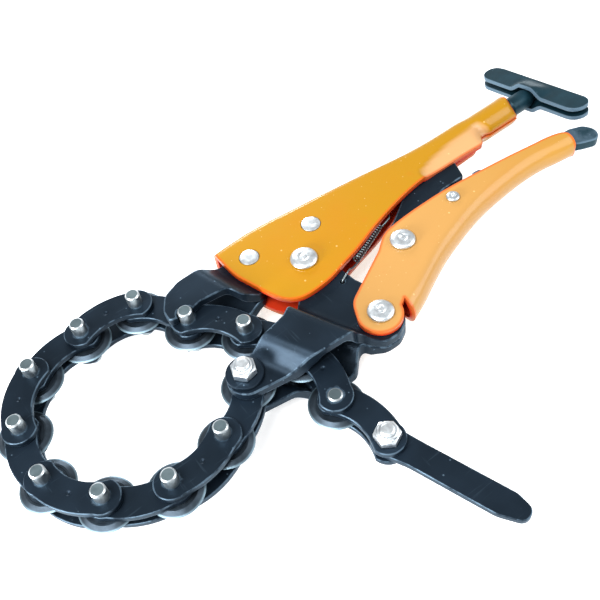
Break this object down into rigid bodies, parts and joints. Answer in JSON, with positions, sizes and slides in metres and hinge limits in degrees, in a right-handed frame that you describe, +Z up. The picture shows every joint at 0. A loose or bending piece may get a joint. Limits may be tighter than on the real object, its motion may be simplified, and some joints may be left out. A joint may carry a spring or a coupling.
{
  "type": "chain pipe cutter",
  "caption": "Locking chain pipe cutter: pressed handle shell, over-centre lower handle, screw with a folded T handle, cranked jaws and a chain of cutter wheels.",
  "frame": {"origin": "centre of the footprint, on the ground plane that the lowest face of the lower jaw rests on", "axes": "+X along the handle and its screw towards the T handle, +Y towards the back of the main shell, +Z up through the chain pins"},
  "size_m": [0.304, 0.1822, 0.0344],
  "materials": {
    "orange_paint": "gloss orange enamel",
    "black_steel": "blackened steel, worn bright on its edges",
    "wheel_steel": "hardened and ground steel",
    "zinc": "bright zinc plating",
    "blue_black": "blue-black oxide",
    "spring_steel": "dark spring wire"
  },
  "bodies": {
    "frame": {"fixed_handle": "orange_paint", "upper_jaw_plate_top": "black_steel", "upper_jaw_plate_bottom": "black_steel", "jaw_rivet_front": "zinc", "jaw_rivet_rear": "zinc", "main_pivot_rivet": "zinc", "return_spring": "spring_steel"},
    "lower_jaw": {"lower_jaw_plate_top": "black_steel", "lower_jaw_plate_bottom": "black_steel", "handle_pivot_rivet": "zinc", "anchor_bolt": "zinc", "anchor_nut": "zinc", "anchor_washer_top": "black_steel", "anchor_washer_bottom": "black_steel"},
    "lower_handle": {"lower_handle": "orange_paint", "toggle_rivet": "zinc", "release_rivet": "zinc"},
    "toggle": {"toggle_link": "black_steel"},
    "release": {"release_lever": "blue_black"},
    "screw": {"adjusting_screw": "blue_black"},
    "t_bar": {"t_handle": "blue_black"},
    "link_00": {"inner_plate_top_01": "black_steel", "inner_plate_bottom_01": "black_steel"},
    "link_01": {"outer_link_01": "black_steel"},
    "link_02": {"inner_plate_top_02": "black_steel", "inner_plate_bottom_02": "black_steel"},
    "link_03": {"outer_link_02": "black_steel"},
    "link_04": {"inner_plate_top_03": "black_steel", "inner_plate_bottom_03": "black_steel"},
    "link_05": {"outer_link_03": "black_steel"},
    "link_06": {"inner_plate_top_04": "black_steel", "inner_plate_bottom_04": "black_steel"},
    "link_07": {"outer_link_04": "black_steel"},
    "link_08": {"inner_plate_top_05": "black_steel", "inner_plate_bottom_05": "black_steel"},
    "link_09": {"outer_link_05": "black_steel"},
    "link_10": {"inner_plate_top_06": "black_steel", "inner_plate_bottom_06": "black_steel"},
    "link_11": {"outer_link_06": "black_steel"},
    "link_12": {"inner_plate_top_07": "black_steel", "inner_plate_bottom_07": "black_steel", "tail_bolt": "zinc", "tail_nut": "zinc"},
    "wheel_00": {"cutter_wheel_00": "wheel_steel"},
    "wheel_01": {"cutter_wheel_01": "wheel_steel"},
    "wheel_02": {"cutter_wheel_02": "wheel_steel"},
    "wheel_03": {"cutter_wheel_03": "wheel_steel"},
    "wheel_04": {"cutter_wheel_04": "wheel_steel"},
    "wheel_05": {"cutter_wheel_05": "wheel_steel"},
    "wheel_06": {"cutter_wheel_06": "wheel_steel"},
    "wheel_07": {"cutter_wheel_07": "wheel_steel"},
    "wheel_08": {"cutter_wheel_08": "wheel_steel"},
    "wheel_09": {"cutter_wheel_09": "wheel_steel"},
    "wheel_10": {"cutter_wheel_10": "wheel_steel"},
    "wheel_11": {"cutter_wheel_11": "wheel_steel"},
    "wheel_12": {"cutter_wheel_12": "wheel_steel"},
    "tail": {"tail_lever": "black_steel"}
  },
  "joints": [
    {"name": "jaw_pivot", "type": "hinge", "parent": "frame", "child": "lower_jaw", "pos_m": [-0.00781, 0.04593, 0.0172], "axis": [0, 0, 1], "range_deg": [0, 8], "deforming": ["return_spring"]},
    {"name": "handle_pivot", "type": "hinge", "parent": "lower_jaw", "child": "lower_handle", "pos_m": [-0.00171, 0.00353, 0.0172], "axis": [0, 0, 1], "range_deg": [-34.3, 0]},
    {"name": "toggle_pivot", "type": "hinge", "parent": "lower_handle", "child": "toggle", "pos_m": [0.02959, 0.02593, 0.0172], "axis": [0, 0, 1], "range_deg": [0, 43.7]},
    {"name": "release_pivot", "type": "hinge", "parent": "lower_handle", "child": "release", "pos_m": [0.06219, 0.02993, 0.0172], "axis": [0, 0, 1], "range_deg": [-2, 0]},
    {"name": "t_bar_turn", "type": "hinge", "parent": "screw", "child": "t_bar", "pos_m": [0.13899, 0.05963, 0.0172], "axis": [1, 0, 0], "range_deg": [0, 1080]},
    {"name": "screw_travel", "type": "slide", "parent": "frame", "child": "screw", "axis": [1, 0, 0], "range_m": [0, 0.0046]},
    {"name": "link_pivot_00", "type": "hinge", "parent": "lower_jaw", "child": "link_00", "pos_m": [-0.05991, 0.01433, 0.0172], "axis": [0, 0, 1], "range_deg": [-6.9, 0]},
    {"name": "link_pivot_01", "type": "hinge", "parent": "link_00", "child": "link_01", "pos_m": [-0.08026, -0.00019, 0.0172], "axis": [0, 0, 1], "range_deg": [-0.4, 0]},
    {"name": "link_pivot_02", "type": "hinge", "parent": "link_01", "child": "link_02", "pos_m": [-0.10496, -0.0041, 0.0172], "axis": [0, 0, 1], "range_deg": [-0.5, 0]},
    {"name": "link_pivot_03", "type": "hinge", "parent": "link_02", "child": "link_03", "pos_m": [-0.12723, 0.00725, 0.0172], "axis": [0, 0, 1], "range_deg": [0, 1]},
    {"name": "link_pivot_04", "type": "hinge", "parent": "link_03", "child": "link_04", "pos_m": [-0.14103, 0.0281, 0.0172], "axis": [0, 0, 1], "range_deg": [0, 3.5]},
    {"name": "link_pivot_05", "type": "hinge", "parent": "link_04", "child": "link_05", "pos_m": [-0.13885, 0.053, 0.0172], "axis": [0, 0, 1], "range_deg": [0, 3.7]},
    {"name": "link_pivot_06", "type": "hinge", "parent": "link_05", "child": "link_06", "pos_m": [-0.12398, 0.0731, 0.0172], "axis": [0, 0, 1], "range_deg": [-0.8, 0]},
    {"name": "link_pivot_07", "type": "hinge", "parent": "link_06", "child": "link_07", "pos_m": [-0.09936, 0.07744, 0.0172], "axis": [0, 0, 1], "range_deg": [-2.6, 0]},
    {"name": "link_pivot_08", "type": "hinge", "parent": "link_07", "child": "link_08", "pos_m": [-0.0745, 0.07483, 0.0172], "axis": [0, 0, 1], "range_deg": [-2.1, 0]},
    {"name": "link_pivot_09", "type": "hinge", "parent": "link_08", "child": "link_09", "pos_m": [-0.06238, 0.05296, 0.0172], "axis": [0, 0, 1], "range_deg": [0, 1.3]},
    {"name": "link_pivot_10", "type": "hinge", "parent": "link_09", "child": "link_10", "pos_m": [-0.04699, 0.03326, 0.0172], "axis": [0, 0, 1], "range_deg": [0, 6.1]},
    {"name": "link_pivot_11", "type": "hinge", "parent": "link_10", "child": "link_11", "pos_m": [-0.03642, 0.0106, 0.0172], "axis": [0, 0, 1], "range_deg": [-3, 10]},
    {"name": "link_pivot_12", "type": "hinge", "parent": "link_11", "child": "link_12", "pos_m": [-0.03903, -0.01426, 0.0172], "axis": [0, 0, 1], "range_deg": [-20, 15]},
    {"name": "tail_pivot", "type": "hinge", "parent": "link_12", "child": "tail", "pos_m": [-0.03491, -0.03892, 0.0172], "axis": [0, 0, 1], "range_deg": [-90, 30]},
    {"name": "wheel_spin_00", "type": "hinge", "parent": "lower_jaw", "child": "wheel_00", "pos_m": [-0.05991, 0.01433, 0.0172], "axis": [0, 0, 1], "continuous": true},
    {"name": "wheel_spin_01", "type": "hinge", "parent": "link_01", "child": "wheel_01", "pos_m": [-0.08026, -0.00019, 0.0172], "axis": [0, 0, 1], "continuous": true},
    {"name": "wheel_spin_02", "type": "hinge", "parent": "link_01", "child": "wheel_02", "pos_m": [-0.10496, -0.0041, 0.0172], "axis": [0, 0, 1], "continuous": true},
    {"name": "wheel_spin_03", "type": "hinge", "parent": "link_03", "child": "wheel_03", "pos_m": [-0.12723, 0.00725, 0.0172], "axis": [0, 0, 1], "continuous": true},
    {"name": "wheel_spin_04", "type": "hinge", "parent": "link_03", "child": "wheel_04", "pos_m": [-0.14103, 0.0281, 0.0172], "axis": [0, 0, 1], "continuous": true},
    {"name": "wheel_spin_05", "type": "hinge", "parent": "link_05", "child": "wheel_05", "pos_m": [-0.13885, 0.053, 0.0172], "axis": [0, 0, 1], "continuous": true},
    {"name": "wheel_spin_06", "type": "hinge", "parent": "link_05", "child": "wheel_06", "pos_m": [-0.12398, 0.0731, 0.0172], "axis": [0, 0, 1], "continuous": true},
    {"name": "wheel_spin_07", "type": "hinge", "parent": "link_07", "child": "wheel_07", "pos_m": [-0.09936, 0.07744, 0.0172], "axis": [0, 0, 1], "continuous": true},
    {"name": "wheel_spin_08", "type": "hinge", "parent": "link_07", "child": "wheel_08", "pos_m": [-0.0745, 0.07483, 0.0172], "axis": [0, 0, 1], "continuous": true},
    {"name": "wheel_spin_09", "type": "hinge", "parent": "link_09", "child": "wheel_09", "pos_m": [-0.06238, 0.05296, 0.0172], "axis": [0, 0, 1], "continuous": true},
    {"name": "wheel_spin_10", "type": "hinge", "parent": "link_09", "child": "wheel_10", "pos_m": [-0.04699, 0.03326, 0.0172], "axis": [0, 0, 1], "continuous": true},
    {"name": "wheel_spin_11", "type": "hinge", "parent": "link_11", "child": "wheel_11", "pos_m": [-0.03642, 0.0106, 0.0172], "axis": [0, 0, 1], "continuous": true},
    {"name": "wheel_spin_12", "type": "hinge", "parent": "link_11", "child": "wheel_12", "pos_m": [-0.03903, -0.01426, 0.0172], "axis": [0, 0, 1], "continuous": true}
  ],
  "couplings": [
    {"joint": "handle_pivot", "follows": "jaw_pivot", "ratio": -4.2725},
    {"joint": "toggle_pivot", "follows": "jaw_pivot", "ratio": 5.454},
    {"joint": "screw_travel", "follows": "t_bar_turn", "m_per_rad": 0.00023873},
    {"joint": "link_pivot_00", "follows": "jaw_pivot", "ratio": -0.845},
    {"joint": "link_pivot_01", "follows": "jaw_pivot", "ratio": -0.042},
    {"joint": "link_pivot_02", "follows": "jaw_pivot", "ratio": -0.046},
    {"joint": "link_pivot_03", "follows": "jaw_pivot", "ratio": 0.108},
    {"joint": "link_pivot_04", "follows": "jaw_pivot", "ratio": 0.429},
    {"joint": "link_pivot_05", "follows": "jaw_pivot", "ratio": 0.449},
    {"joint": "link_pivot_06", "follows": "jaw_pivot", "ratio": -0.088},
    {"joint": "link_pivot_07", "follows": "jaw_pivot", "ratio": -0.31},
    {"joint": "link_pivot_08", "follows": "jaw_pivot", "ratio": -0.254},
    {"joint": "link_pivot_09", "follows": "jaw_pivot", "ratio": 0.149},
    {"joint": "link_pivot_10", "follows": "jaw_pivot", "ratio": 0.75}
  ]
}
